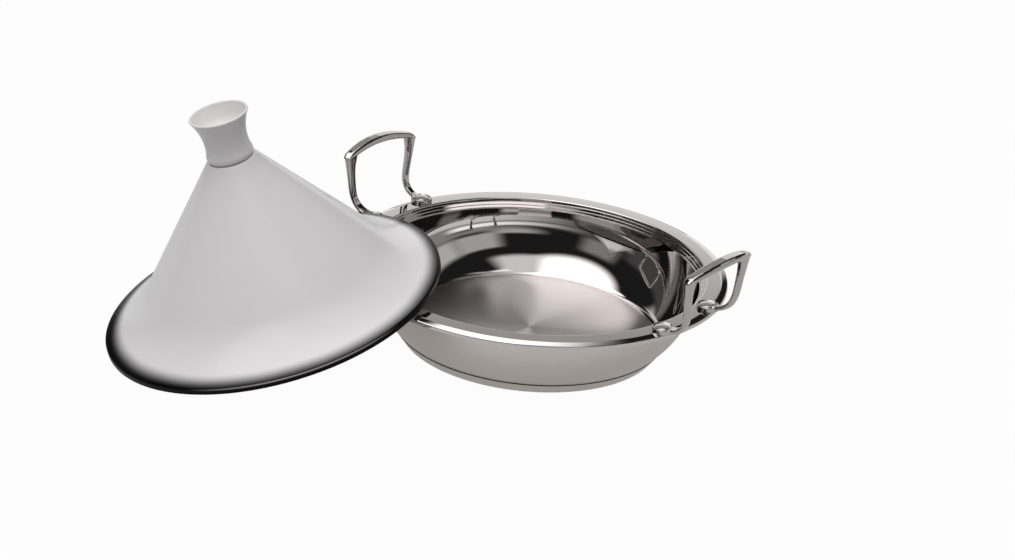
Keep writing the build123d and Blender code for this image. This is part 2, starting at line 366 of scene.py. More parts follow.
def finish_piece(name, mesh, materials, body, nodes=(), sharp=32.0):
    """Closes a bmesh's seams, shades it smooth up to a sharp angle in degrees, and hangs it on its body."""
    bmesh.ops.remove_doubles(mesh, verts=mesh.verts, dist=SEAM_GAP)
    bmesh.ops.dissolve_degenerate(mesh, dist=SHORTEST_EDGE, edges=mesh.edges)
    bmesh.ops.delete(mesh, geom=[v for v in mesh.verts if not v.link_faces], context="VERTS")
    bmesh.ops.recalc_face_normals(mesh, faces=mesh.faces)
    for face in mesh.faces:
        face.smooth = True
    for edge in mesh.edges:
        edge.smooth = len(edge.link_faces) == 2 and edge.calc_face_angle() < radians(sharp)
    piece = as_object(name, mesh)
    for material in materials:
        piece.data.materials.append(material)
    weighted = piece.modifiers.new("Weighted Normal", "WEIGHTED_NORMAL")
    weighted.keep_sharp = True
    if nodes:
        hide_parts(*nodes)
    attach(piece, body)
    return piece


def paint_node(name, material):
    """Gives a carried-over CAD node its material."""
    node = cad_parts[name]
    node.data.materials.clear()
    node.data.materials.append(material)


# Nearly all of a noise's values lie between these
NOISE_SPREAD = {"From Min": 0.3, "From Max": 0.7}


def buffed_steel(name, tint, wave_size, wave_detail, wave_depth, haze_size, blurs):
    """Steel off a buffing wheel: a mirror with shallow waves, and a haze that blurs it more or less."""
    material, tree = new_material(name)
    place = object_coordinates(tree)
    wavy = {"Scale": 1 / wave_size, "Detail": wave_detail}
    waves = add(tree, "ShaderNodeTexNoise", wavy, {"Vector": place})
    bump = add(tree, "ShaderNodeBump", {"Strength": 1.0, "Distance": wave_depth}, {"Height": waves})
    haze = add(tree, "ShaderNodeTexNoise", {"Scale": 1 / haze_size, "Detail": 4.0}, {"Vector": place})
    spread = {**NOISE_SPREAD, "To Min": blurs[0], "To Max": blurs[1]}
    blur = add(tree, "ShaderNodeMapRange", spread, {"Value": haze})
    metal = {"Base Color": linear(tint), "Metallic": 1.0}
    surface(tree, add(tree, "ShaderNodeBsdfPrincipled", metal, {"Roughness": blur, "Normal": bump}))
    return material


def polished_steel(finishes):
    """Buffed 18/10 stainless sheet: a mirror, a little hazy and a little wavy from the buffing wheel."""
    return buffed_steel(
        "polished stainless steel", finishes.polished, wave_size=0.030, wave_detail=1.0, wave_depth=0.00002,
        haze_size=0.006, blurs=(0.015, 0.035),
    )


def cast_steel(finishes):
    """Investment-cast stainless, tumbled and buffed: bright, but softer and wavier than drawn sheet."""
    return buffed_steel(
        "cast stainless steel", finishes.cast, wave_size=0.012, wave_detail=2.0, wave_depth=0.00006,
        haze_size=0.003, blurs=(0.05, 0.10),
    )


def brushed_steel(tree, tint, measure, tangent, spacing, depth, blurs, fan):
    """Steel with fine marks that lie one after another along a measure of the place.

    The larger the fan, the more the marks spread what they mirror across themselves.
    """
    marks = add(tree, "ShaderNodeMath", {1: 1 / spacing}, {0: measure}, operation="MULTIPLY")
    noise = {"Scale": 1.0, "Detail": 3.0}
    lines = add(tree, "ShaderNodeTexNoise", noise, {"W": marks}, noise_dimensions="1D")
    bump = add(tree, "ShaderNodeBump", {"Strength": 1.0, "Distance": depth}, {"Height": lines})
    spread = {**NOISE_SPREAD, "To Min": blurs[0], "To Max": blurs[1]}
    blur = add(tree, "ShaderNodeMapRange", spread, {"Value": lines})
    metal = {"Base Color": linear(tint), "Metallic": 1.0, "Anisotropic": fan}
    feeds = {"Roughness": blur, "Normal": bump, "Tangent": tangent}
    surface(tree, add(tree, "ShaderNodeBsdfPrincipled", metal, feeds))


def turned_steel(finishes):
    """Stainless floor finished on a lathe: fine rings, which spread light outward in bright fans."""
    material, tree = new_material("turned stainless steel")
    place = object_coordinates(tree)
    outward = add(tree, "ShaderNodeVectorMath", {1: (1, 1, 0)}, {0: place}, operation="MULTIPLY")
    radius = add(tree, "ShaderNodeVectorMath", links={0: outward}, operation="LENGTH").outputs["Value"]
    # Lathe marks about 0.5 mm apart, as coarse as they need to be to show
    brushed_steel(
        tree, finishes.turned, radius, outward, spacing=0.0005, depth=0.0000003, blurs=(0.28, 0.3), fan=0.9
    )
    return material


def satin_steel(finishes):
    """Stainless brushed round and round on the outside: soft, warm grey, with faint level lines."""
    material, tree = new_material("satin stainless steel")
    axes = add(tree, "ShaderNodeSeparateXYZ", links={"Vector": object_coordinates(tree)}).outputs
    upright = add(tree, "ShaderNodeCombineXYZ", {"Z": 1.0})
    # Brush marks about 0.4 mm apart, as coarse as they need to be to show
    brushed_steel(
        tree, finishes.satin, axes["Z"], upright, spacing=0.0004, depth=0.000006, blurs=(0.3, 0.38), fan=0.5
    )
    return material


def painted_seam_shade(finishes):
    """Painted shade in the groove between pan and cap, on top of the joint's own darker brazing: a thin dark
    matt line.
    """
    material, tree = new_material("brazed seam")
    crust_size = 0.0008
    place = object_coordinates(tree)
    crust = add(tree, "ShaderNodeTexNoise", {"Scale": 1 / crust_size}, {"Vector": place})
    blur = add(tree, "ShaderNodeMapRange", {"To Min": 0.5, "To Max": 0.8}, {"Value": crust})
    metal = {"Base Color": linear(finishes.seam_shade), "Metallic": 1.0}
    surface(tree, add(tree, "ShaderNodeBsdfPrincipled", metal, {"Roughness": blur}))
    return material


def rolled_aluminium(finishes):
    """Mill-finish aluminium plate: pale, with straight rolling lines."""
    material, tree = new_material("rolled aluminium")
    place = object_coordinates(tree)
    line_length, line_spacing = 0.02, 0.0006
    lengths = {"Scale": (1 / line_length, 1 / line_spacing, 1 / line_length)}
    stretch = add(tree, "ShaderNodeMapping", lengths, {"Vector": place})
    lines = add(tree, "ShaderNodeTexNoise", {"Scale": 1.0, "Detail": 3.0}, {"Vector": stretch})
    blur = add(tree, "ShaderNodeMapRange", {"To Min": 0.35, "To Max": 0.5}, {"Value": lines})
    metal = {"Base Color": linear(finishes.aluminium), "Metallic": 1.0}
    surface(tree, add(tree, "ShaderNodeBsdfPrincipled", metal, {"Roughness": blur}))
    return material


def lid_matrix(lid):
    """From the lid's own frame, with its axis along Z, to where it leans."""
    centre = Vector((lid.distance * cos(lid.bearing), lid.distance * sin(lid.bearing), lid.height))
    headed = Matrix.Translation(centre) @ Matrix.Rotation(lid.heading, 4, "Z")
    return headed @ Matrix.Rotation(lid.tilt, 4, "Y")


def lid_coordinates(tree, lid):
    """Places on the object, in the lid's own frame."""
    own_frame = {"Location": lid_matrix(lid).to_translation(), "Rotation": (0, lid.tilt, lid.heading)}
    place = object_coordinates(tree)
    return add(tree, "ShaderNodeMapping", own_frame, {"Vector": place}, vector_type="TEXTURE")


def toward_side(tree, place, side, per_metre):
    """How far a place lies towards a side, at so much per metre."""
    way = Vector((cos(side), sin(side), 0)) * per_metre
    return add(tree, "ShaderNodeVectorMath", {1: way}, {0: place}, operation="DOT_PRODUCT").outputs["Value"]


def glaze_tint(tree, finishes, other, shows):
    """The dark rim glaze's colour, and another's where that shows."""
    tints = {6: linear(finishes.rim_glaze), 7: linear(other)}
    return add(tree, "ShaderNodeMix", tints, {0: shows}, data_type="RGBA").outputs[2]


def white_glaze(finishes, lid):
    """White glaze on fired clay, with a dark rim glaze that thins to smoke: glossy, faintly uneven."""
    material, tree = new_material("white glazed ceramic")
    place = lid_coordinates(tree, lid)
    flat = add(tree, "ShaderNodeVectorMath", {1: (1, 1, 0)}, {0: place}, operation="MULTIPLY")
    radius = add(tree, "ShaderNodeVectorMath", links={0: flat}, operation="LENGTH").outputs["Value"]
    # The dark glaze ran: it reaches further in on one side, and its inner edge wanders a little
    drift_size, drift_reach = 0.09, 0.0006
    drift = add(tree, "ShaderNodeTexNoise", {"Scale": 1 / drift_size, "Detail": 2.0}, {"Vector": place})
    spread = {**NOISE_SPREAD, "To Min": -drift_reach, "To Max": drift_reach}
    wander = add(tree, "ShaderNodeMapRange", spread, {"Value": drift})
    lean = toward_side(tree, place, finishes.band_side, finishes.band_lean)
    run = add(tree, "ShaderNodeMath", links={0: lean, 1: wander})
    reach = add(tree, "ShaderNodeMath", links={0: radius, 1: run})
    black = lid.brim_radius - finishes.band_black
    smoke = {"From Min": black, "From Max": black - finishes.band_width}
    across = add(tree, "ShaderNodeMapRange", smoke, {"Value": reach}, interpolation_type="SMOOTHSTEP")
    # The thicker the dark glaze, the less of the white shows through: a power of the way in
    thinning = 1.55
    shows = add(tree, "ShaderNodeMath", {1: thinning}, {0: across}, operation="POWER")
    shine = add(tree, "ShaderNodeMapRange", {"To Min": 0.06, "To Max": 0.38}, {"Value": shows})
    peel_size = 0.008
    peel = add(tree, "ShaderNodeTexNoise", {"Scale": 1 / peel_size, "Detail": 1.0}, {"Vector": place})
    bump = add(tree, "ShaderNodeBump", {"Strength": 1.0, "Distance": 0.00002}, {"Height": peel})
    tint = glaze_tint(tree, finishes, finishes.glaze, shows)
    feeds = {"Base Color": tint, "Specular IOR Level": shine, "Normal": bump}
    surface(tree, add(tree, "ShaderNodeBsdfPrincipled", {"Roughness": 0.22, "IOR": 1.5}, feeds))
    return material


def dark_rim_glaze(finishes, lid):
    """Black glaze on the brim's edge, soft and deep, with a painted highlight: a pale line along the arris
    on one side.
    """
    material, tree = new_material("dark rim glaze")
    place = lid_coordinates(tree, lid)
    height = add(tree, "ShaderNodeSeparateXYZ", links={"Vector": place}).outputs["Z"]
    # The arris stands a little above the straight part of the edge
    arris = lid.foot_round + lid.edge_height + lid.edge_round / 4
    off = add(tree, "ShaderNodeMath", {1: arris}, {0: height}, operation="SUBTRACT")
    away = add(tree, "ShaderNodeMath", links={0: off}, operation="ABSOLUTE")
    # Away from the arris: where the painted highlight has gone, and where it is palest
    fade = {"From Min": 0.0009, "From Max": 0.0002}
    line = add(tree, "ShaderNodeMapRange", fade, {"Value": away}, interpolation_type="SMOOTHSTEP")
    # The painted highlight lies on one side of the brim only: 1 is that side's outermost place
    side = {"From Min": 0.78, "From Max": 1.0}
    toward = toward_side(tree, place, finishes.arris_highlight_side, 1 / lid.brim_radius)
    on_highlight_side = add(tree, "ShaderNodeMapRange", side, {"Value": toward}, interpolation_type="SMOOTHSTEP")
    shows = add(tree, "ShaderNodeMath", links={0: line, 1: on_highlight_side}, operation="MULTIPLY")
    tint = glaze_tint(tree, finishes, finishes.arris_highlight, shows)
    soft = {"Roughness": 0.3, "IOR": 1.5, "Specular IOR Level": 0.08}
    surface(tree, add(tree, "ShaderNodeBsdfPrincipled", soft, {"Base Color": tint}))
    return material


def biscuit_clay(finishes, lid):
    """Bare fired clay where the lid stood in the kiln: matt, chalky, with fine grog."""
    material, tree = new_material("biscuit fired clay")
    place = lid_coordinates(tree, lid)
    grog_size = 0.0012
    grog = add(tree, "ShaderNodeTexNoise", {"Scale": 1 / grog_size, "Detail": 4.0}, {"Vector": place})
    bump = add(tree, "ShaderNodeBump", {"Strength": 0.4, "Distance": 0.0001}, {"Height": grog})
    chalky = {"Base Color": linear(finishes.biscuit), "Roughness": 0.85}
    surface(tree, add(tree, "ShaderNodeBsdfPrincipled", chalky, {"Normal": bump}))
    return material


def corner_point(pan, turn):
    """A point (radius, height) on the outer corner between the pan's floor and its wall."""
    under = pan.floor_top - pan.sheet
    return pan.floor_radius + pan.corner_radius * sin(turn), under + pan.corner_radius * (1 - cos(turn))


class TAGINE_OT_pan_shell(bpy.types.Operator):
    """Spin the pan: cooking floor, curved wall, stepped seat, flange with a turned-down lip"""

    bl_idname = "tagine.pan_shell"
    bl_label = "Pan Shell"

    def execute(self, context):
        pan, finishes = context.scene.tagine_pan, context.scene.tagine_finishes
        # Places in the list of materials below; what names no finish is polished
        turned, satin, shaded = 1, 2, 3
        top = PAN_HIGH.z
        under = top - pan.sheet
        floor_under = pan.floor_top - pan.sheet
        mesh = bmesh.new()

        inside = Outline(mesh, 0, pan.floor_top)
        inside.line_to(pan.floor_radius, pan.floor_top)
        inside.turn_about_z(finish=turned)
        inside.arc(pan.corner_radius - pan.sheet, pan.corner_turn, steps=10)
        inside.arc(pan.wall_radius - pan.sheet, pan.wall_turn, steps=20)
        corners = []
        inside.line_to(pan.mouth_radius, pan.seat_height)
        corners.append(inside.tip)
        for step in range(pan.steps):
            riser = pan.seat_radius + step * (pan.step_width + pan.riser_lean)
            tread = pan.seat_height + step * pan.step_height
            inside.line_to(riser, tread)
            corners.append(inside.tip)
            if step < pan.steps - 1:
                inside.line_to(riser + pan.riser_lean, tread + pan.step_height)
                corners.append(inside.tip)
        inside.line_to(riser + pan.riser_lean, top - pan.flange_bend)
        inside.heading = pi / 2
        inside.arc_to(riser + pan.riser_lean + pan.flange_bend, top, steps=8)
        inside.line_to(pan.crease_radius, top)
        crease = inside.tip
        inside.line_to(pan.rim_radius, pan.rim_top)
        rim = inside.tip
        lip_radius = PAN_HIGH.x
        inside.line_to(lip_radius, pan.lip_bottom)
        for corner in corners:
            inside.round_corner(corner, pan.step_round, segments=3)
        for corner in (crease, rim):
            inside.round_corner(corner, pan.lip_round, segments=5)
        inside.turn_about_z()

        # Under the slanting stretches the lower skin is less than a sheet below the upper one
        fold_drop, fold_shift = 0.7 * pan.sheet, 0.6 * pan.sheet
        inside.lines_to(
            (lip_radius - pan.sheet, pan.lip_bottom), (pan.rim_radius - pan.sheet, pan.rim_top - fold_drop),
            (pan.crease_radius, under), (riser + pan.riser_lean + pan.sheet, under),
            (pan.seat_radius + fold_shift, pan.seat_height - fold_drop),
        )
        wall_top = inside.tip.co.copy()
        inside.turn_about_z(finish=satin)

        outside = Outline(mesh, 0, floor_under)
        outside.line_to(pan.floor_radius, floor_under)
        outside.heading = 0
        outside.arc(pan.corner_radius, pan.seam_turn, steps=8)
        outside.turn_about_z(finish=satin)
        # A thin band of painted shade round the corner, just above the cap's groove
        outside.arc(pan.corner_radius, pan.seam_reach, steps=2)
        outside.turn_about_z(finish=shaded)
        outside.arc(pan.corner_radius, pan.corner_turn - pan.seam_turn - pan.seam_reach, steps=2)
        outside.arc(pan.wall_radius, pan.wall_turn, steps=20)
        outside.line_to(wall_top.x, wall_top.z)
        outside.turn_about_z(finish=satin)
        materials = [
            polished_steel(finishes), turned_steel(finishes), satin_steel(finishes), painted_seam_shade(finishes)
        ]
        finish_piece("PanShell", mesh, materials, "pan", ["pan_shell"])
        return {"FINISHED"}


class TAGINE_OT_base(bpy.types.Operator):
    """Spin the base cap, whose top edge is the seam that shows, and finish the disc inside it"""

    bl_idname = "tagine.base"
    bl_label = "Capped Base"

    def execute(self, context):
        pan, finishes = context.scene.tagine_pan, context.scene.tagine_finishes
        # Its place in the list of materials below; what names no finish is satin
        shaded = 1
        mesh = bmesh.new()
        groove = Outline(mesh, *corner_point(pan, pan.seam_turn))
        inner_radius = pan.cap_top_radius - pan.cap_sheet
        groove.line_to(inner_radius, pan.cap_top - pan.seam_depth)
        groove.line_to(inner_radius, pan.cap_top - pan.cap_edge_round)
        # The groove's faces take the painted shade as well
        groove.turn_about_z(finish=shaded)
        cap = Outline(mesh, *groove.tip.co.xz)
        cap.line_to(inner_radius, pan.cap_top)
        inner_edge = cap.tip
        cap.line_to(pan.cap_top_radius, pan.cap_top)
        top_edge = cap.tip
        cap.line_to(pan.stand_radius, 0)
        stand_edge = cap.tip
        cap.line_to(0, 0)
        for edge in (inner_edge, top_edge):
            cap.round_corner(edge, pan.cap_edge_round, segments=3)
        # A rounding reaches out from its corner by its radius times the tangent of half the turn
        half_turn = radians(27)
        cap.round_corner(stand_edge, pan.stand_round * tan(half_turn), segments=5)
        cap.turn_about_z()
        inside = Outline(mesh, 0, pan.cap_sheet)
        inside.line_to(pan.core_radius, pan.cap_sheet)
        inside.line_to(*corner_point(pan, pan.seam_turn))
        inside.turn_about_z()
        materials = [satin_steel(finishes), painted_seam_shade(finishes)]
        finish_piece("BaseCap", mesh, materials, "pan", ["base_cap"])
        paint_node("heat_core", rolled_aluminium(finishes))
        return {"FINISHED"}


# Where a leg starts inside its pad: set-back from the bend, width, thickness
LEG_START = (0.0035, 0.0100, 0.0030)
# Round the bend: turn in degrees, width, thickness
BEND_SECTIONS = ((0, 0.0082, 0.0036), (30, 0.0072, 0.0040), (60, 0.0066, 0.0044), (90, 0.0065, 0.0048))
# Above the bend: share of the rise, set-off outward, lean, width, thickness, set-off to the middle
RISE_SECTIONS = (
    (0.25, 0.0001, 89.5, 0.0066, 0.0051, 0.0001), (0.5, 0.0002, 89, 0.0069, 0.0054, 0.0002),
    (0.8, 0.0005, 88, 0.0082, 0.0062, 0.0009), (1.0, 0.0008, 87, 0.0116, 0.0072, 0.0026),
)
# How far the last section is carried on into the grip
LEG_ENDS = (0.0018, 0.0020)
# Rounding of a leg's corners, as a share of its thickness
LEG_ROUND = 0.34
# Half the grip, from its middle: share of the half length, width, crown above the edge, depth below it
GRIP_SECTIONS = (
    (0.0, 0.0124, 0.0012, 0.0050), (0.45, 0.0118, 0.0011, 0.0048), (0.86, 0.0098, 0.0009, 0.0040),
    (0.93, 0.0088, 0.0008, 0.0032), (1.0, 0.0070, 0.0006, 0.0016), (1.005, 0.0066, 0.0005, 0.0014),
)
# Corners of the grip's section: share of its half width, and share of its crown or of its depth
CROWN_CORNERS = ((1, 0), (0.45, 0.9), (-0.45, 0.9), (-1, 0))
BELLY_CORNERS = ((-0.94, 0.6), (-0.6, 1), (0.6, 1), (0.94, 0.6))


def cross_plane(centre, across, along):
    """The plane of a section: its first axis across the piece, its second square to that and to along."""
    along = along.normalized()
    up = along.cross(across).normalized()
    return Matrix.Translation(centre) @ Matrix((up.cross(along), up, along)).transposed().to_4x4()


def section(mesh, plane, corners, rounding):
    """Draws a closed section with rounded corners in a plane, and returns its edges."""
    known = set(mesh.edges)
    verts = [mesh.verts.new(plane @ Vector((x, y, 0))) for x, y in corners]
    for i, vert in enumerate(verts):
        mesh.edges.new((vert, verts[i - 1]))
    bmesh.ops.bevel(
        mesh, geom=verts, offset=rounding, offset_type="OFFSET", segments=4, profile=0.5, affect="VERTICES",
        material=-1,
    )
    return [edge for edge in mesh.edges if edge not in known]


def loft(mesh, sections):
    """Joins sections into one closed body."""
    for lower, upper in zip(sections, sections[1:]):
        bmesh.ops.bridge_loops(mesh, edges=lower + upper)
    for end in (sections[0], sections[-1]):
        bmesh.ops.edgeloop_fill(mesh, edges=end)


class TAGINE_OT_handles(bpy.types.Operator):
    """Cast the two loop handles: pads, legs and grip run into each other in soft fillets"""

    bl_idname = "tagine.handles"
    bl_label = "Cast Handles"

    def execute(self, context):
        scene = context.scene
        handle, rivet = scene.tagine_handles, scene.tagine_rivets
        mesh = bmesh.new()
        for side in (-1, 1):
            self.add_leg(mesh, handle, rivet, side)
        self.add_grip(mesh, handle)
        for face in mesh.faces:
            face.smooth = True
        rounded = self.modified(mesh, [("SUBSURF", {"levels": 1, "render_levels": 1})])
        mesh = bmesh.new()
        mesh.from_mesh(rounded)
        for side in (-1, 1):
            self.add_pad(mesh, handle, rivet, side)
        # One skin over legs, grip and pads, smoothed until they run into each other in fillets
        cast = self.modified(mesh, [
            ("REMESH", {"mode": "VOXEL", "voxel_size": handle.grain}),
            ("SMOOTH", {"factor": 0.5, "iterations": 26}),
        ])
        material = cast_steel(scene.tagine_finishes)
        for name, turn in (("right", 0), ("left", pi)):
            mesh = bmesh.new()
            mesh.from_mesh(cast)
            bmesh.ops.rotate(mesh, cent=(0, 0, 0), matrix=Matrix.Rotation(turn, 3, "Z"), verts=mesh.verts)
            node = f"handle_{name}"
            finish_piece(node.capitalize(), mesh, [material], "pan", [node], sharp=180)
        return {"FINISHED"}

    def modified(self, mesh, modifiers):
        """What modifiers make of a mesh."""
        bmesh.ops.recalc_face_normals(mesh, faces=mesh.faces)
        pattern = as_object("casting", mesh)
        for kind, settings in modifiers:
            modifier = pattern.modifiers.new(kind, kind)
            for name, value in settings.items():
                setattr(modifier, name, value)
        made = bpy.data.meshes.new_from_object(pattern.evaluated_get(bpy.context.evaluated_depsgraph_get()))
        bpy.data.objects.remove(pattern)
        return made

    def add_leg(self, mesh, handle, rivet, side):
        """One leg, from inside its pad, round the bend and up into the grip."""
        foot = Vector((rivet.out, side * rivet.apart, PAN_HIGH.z + handle.foot_height))
        up = Vector((0, side * sin(handle.splay), cos(handle.splay)))
        across = Vector((0, cos(handle.splay), -side * sin(handle.splay)))
        inward = -side * across
        sections = []

        def station(out, rise, lean, width, thickness, middle=0.0):
            """Draws the next section, out from and above the foot."""
            centre = foot + Vector((out, 0, 0)) + up * rise + inward * middle
            along = Vector((cos(radians(lean)), 0, 0)) + up * sin(radians(lean))
            x, y = width / 2, thickness / 2
            plane = cross_plane(centre, across, along)
            corners = [(-x, -y), (x, -y), (x, y), (-x, y)]
            sections.append(section(mesh, plane, corners, LEG_ROUND * thickness))

        set_back, width, thickness = LEG_START
        station(handle.foot_run - set_back, 0, 0, width, thickness)
        for turn, width, thickness in BEND_SECTIONS:
            out = handle.foot_run + handle.foot_bend * sin(radians(turn))
            station(out, handle.foot_bend * (1 - cos(radians(turn))), turn, width, thickness)
        for share, outward, lean, width, thickness, middle in RISE_SECTIONS:
            out = handle.foot_run + handle.foot_bend + outward
            rise = handle.foot_bend + share * handle.leg_rise
            station(out, rise, lean, width, thickness, middle)
        for deeper in LEG_ENDS:
            station(out, rise + deeper, lean, width, thickness, middle)
        loft(mesh, sections)

    def add_grip(self, mesh, handle):
        """The grip: crowned on top, flat below, bowed up and out in the middle."""
        sections = []
        fall_out, fall = handle.grip_out - handle.grip_end_out, handle.grip_height - handle.grip_end_height
        other_half = [(-share, *sizes) for share, *sizes in reversed(GRIP_SECTIONS[1:])]
        for share, width, crown, depth in (*other_half, *GRIP_SECTIONS):
            drop = share * share
            out, height = handle.grip_out - fall_out * drop, handle.grip_height - fall * drop
            centre = Vector((out, share * handle.grip_half, height))
            along = Vector((-2 * share * fall_out, handle.grip_half, -2 * share * fall))
            outward = Vector((1, 2 * share * fall_out / handle.grip_half, 0))
            plane = cross_plane(centre, outward, along)
            corners = [(across * width / 2, up * crown) for across, up in CROWN_CORNERS]
            corners += [(across * width / 2, -down * depth) for across, down in BELLY_CORNERS]
            sections.append(section(mesh, plane, corners, handle.grip_round))
        loft(mesh, sections)

    def add_pad(self, mesh, handle, rivet, side):
        """One round pad with the recess for its rivet's head."""
        top, foot = PAN_HIGH.z + handle.pad_height, PAN_HIGH.z - handle.pad_sink
        pad_mesh = bmesh.new()
        pad = Outline(pad_mesh, 0, top - handle.recess)
        pad.line_to(handle.recess_radius, top - handle.recess)
        pad.line_to(handle.recess_radius, top)
        pad.line_to(handle.pad_radius, top)
        edge = pad.tip
        pad.line_to(handle.pad_radius, foot)
        pad.line_to(0, foot)
        pad.round_corner(edge, handle.pad_round, segments=3)
        pad.turn_about_z(PAD_AROUND)
        bmesh.ops.remove_doubles(pad_mesh, verts=pad_mesh.verts, dist=SEAM_GAP)
        bmesh.ops.recalc_face_normals(pad_mesh, faces=pad_mesh.faces)
        bmesh.ops.translate(pad_mesh, vec=(rivet.out, side * rivet.apart, 0), verts=pad_mesh.verts)
        pour(pad_mesh, mesh)


class TAGINE_OT_rivets(bpy.types.Operator):
    """Spin the four domed rivets and their formed tails"""

    bl_idname = "tagine.rivets"
    bl_label = "Rivets"

    def execute(self, context):
        scene = context.scene
        rivet, material = scene.tagine_rivets, cast_steel(scene.tagine_finishes)
        under = PAN_HIGH.z - scene.tagine_pan.sheet
        tail_end_radius, tail_side = rivet.tail_radius * 0.7, 0.8 * rivet.tail_height
        for side_name, side in (("left", -1), ("right", 1)):
            for end_name, end in (("front", -1), ("rear", 1)):
                mesh = bmesh.new()
                outline = Outline(mesh, 0, rivet.seat + rivet.head_height)
                outline.arc_to(rivet.head_radius, rivet.seat + rivet.edge, steps=12)
                edge = outline.tip
                outline.lines_to(
                    (rivet.head_radius, rivet.seat), (rivet.shank_radius, rivet.seat),
                    (rivet.shank_radius, under), (rivet.tail_radius, under),
                    (rivet.tail_radius, under - rivet.edge), (tail_end_radius, under - tail_side),
                    (0, under - rivet.tail_height),
                )
                outline.round_corner(edge, rivet.edge_round, segments=3)
                outline.turn_about_z(RIVET_AROUND)
                bmesh.ops.translate(mesh, vec=(side * rivet.out, end * rivet.apart, 0), verts=mesh.verts)
                piece = f"Rivet_{side_name}_{end_name}"
                finish_piece(piece, mesh, [material], "pan", [piece.lower()])
        return {"FINISHED"}


class TAGINE_OT_lid_shell(bpy.types.Operator):
    """Spin the hollow cone lid with its flared brim, and lean it on the pan"""

    bl_idname = "tagine.lid_shell"
    bl_label = "Lid Shell"

    def execute(self, context):
        lid, finishes = context.scene.tagine_lid, context.scene.tagine_finishes
        # Places in the list of materials below; what names no finish is white
        biscuit, dark = 1, 2
        mesh = bmesh.new()
        out = Outline(mesh, lid.foot_radius, lid.inner_edge)
        out.line_to(lid.foot_radius, 0)
        out.line_to(lid.brim_radius - lid.foot_round, 0)
        out.turn_about_z(finish=biscuit)
        out.arc(lid.foot_round, pi / 2, steps=6)
        out.line_to(lid.brim_radius, lid.foot_round + lid.edge_height)
        out.arc(lid.edge_round, pi / 2 - lid.brim_rise, steps=8)
        out.turn_about_z(finish=dark)
        out.arc(lid.flare, -(pi / 2 - lid.lean - lid.brim_rise), steps=24)
        cone_foot = out.tip.co.copy()
        cone_rise = lid.top - lid.shoulder - cone_foot.z
        out.line(cone_rise / cos(lid.lean))
        out.arc(lid.shoulder, pi / 2 - lid.lean, steps=6)
        top = out.tip.co.z
        out.line_to(0, top)
        out.turn_about_z()

        inner_foot = cone_foot - Vector((cos(lid.lean), 0, sin(lid.lean))) * lid.wall
        inside = Outline(mesh, inner_foot.x, inner_foot.z, heading=lid.lean - pi / 2)
        inside.arc_to(lid.foot_radius, lid.inner_edge, steps=16)
        inside.turn_about_z()
        inside = Outline(mesh, inner_foot.x, inner_foot.z)
        inner_rise = (inner_foot.x - lid.dome * cos(lid.lean)) / tan(lid.lean)
        inside.line_to(lid.dome * cos(lid.lean), inner_foot.z + inner_rise)
        inside.arc(lid.dome, pi / 2 - lid.lean, steps=12)
        inside.turn_about_z()
        bmesh.ops.transform(mesh, matrix=lid_matrix(lid), verts=mesh.verts)
        materials = [white_glaze(finishes, lid), biscuit_clay(finishes, lid), dark_rim_glaze(finishes, lid)]
        finish_piece("LidShell", mesh, materials, "lid", ["lid_shell"])
        return {"FINISHED"}


class TAGINE_OT_knob(bpy.types.Operator):
    """Spin the flared cup knob that stands on the cone"""

    bl_idname = "tagine.knob"
    bl_label = "Cup Knob"

    def execute(self, context):
        lid, finishes = context.scene.tagine_lid, context.scene.tagine_finishes
        mesh = bmesh.new()
        cup = Outline(mesh, lid.waist_radius, lid.waist_height, heading=pi / 2)
        cup.arc_to(lid.cup_radius, lid.cup_height, steps=12)
        cup.heading = pi / 2
        cup.arc(lid.lip / 2, pi, steps=8)
        cup.heading = -pi / 2 - lid.dish_lean
        cup.line(lid.dish_wall)
        cup.arc(cup.tip.co.x / cos(lid.dish_lean), lid.dish_lean - pi / 2, steps=12)
        cup.turn_about_z(KNOB_AROUND)
        stem = Outline(mesh, lid.waist_radius, lid.waist_height, heading=-pi / 2)
        stem.arc_to(lid.bead_radius, lid.bead_height, steps=8)
        stem.arc_to(lid.knob_foot, lid.top, steps=8)
        stem.line_to(0, lid.top)
        stem.turn_about_z(KNOB_AROUND)
        bmesh.ops.transform(mesh, matrix=lid_matrix(lid), verts=mesh.verts)
        finish_piece("Knob", mesh, [white_glaze(finishes, lid)], "lid", ["knob"])
        return {"FINISHED"}


def direction(bearing, elevation):
    """The unit vector towards a bearing and elevation, in degrees."""
    flat = cos(radians(elevation))
    return Vector((flat * cos(radians(bearing)), flat * sin(radians(bearing)), sin(radians(elevation))))


# What mirrors see round the object. Each panel: name, bearings and their soft edge, elevations and
# their soft edge, in degrees, and tone. A later panel hangs in front of an earlier one.
PANELS = (
    ("pale sweep", (-180, 180), 0, (-90, 9), 3, 0.75),
    ("table edge", (-150, 20), 20, (10.3, 14), 2.5, 1.3),
    ("camera stand", (-135, -55), 90, (-90, 16), 3, 0.08),
    ("front cloth", (-48, 20), 30, (15.5, 19), 3, 0.28),
    ("front shade", (-54, -20), 26, (18.5, 23), 2.5, 0.48),
    ("right screen", (-24, 12), 16, (21.5, 38), 3, 0.5),
    ("far right screen", (12, 75), 18, (21, 38), 6, 0.6),
    ("far right cloth", (12, 75), 18, (9, 20), 4, 0.3),
    ("left rear sweep", (140, 178), 14, (22, 34), 6, 0.8),
    ("left rear cloth", (150, 235), 14, (-90, 22), 6, 0.07),
    ("left screen", (-118, -90), 14, (17, 32), 6, 0.28),
    ("rear cloth", (110, 154), 4, (8, 47), 3, 0.42),
    ("rear sweep", (110, 154), 4, (-90, 22.4), 5, 1.0),
    ("rear light", (114, 190), 20, (51, 86), 3, 1.75),
    ("right silk", (40, 110), 20, (64, 84), 8, 0.45),
    ("ceiling", (-180, 180), 0, (79, 100), 6, 0.95),
)
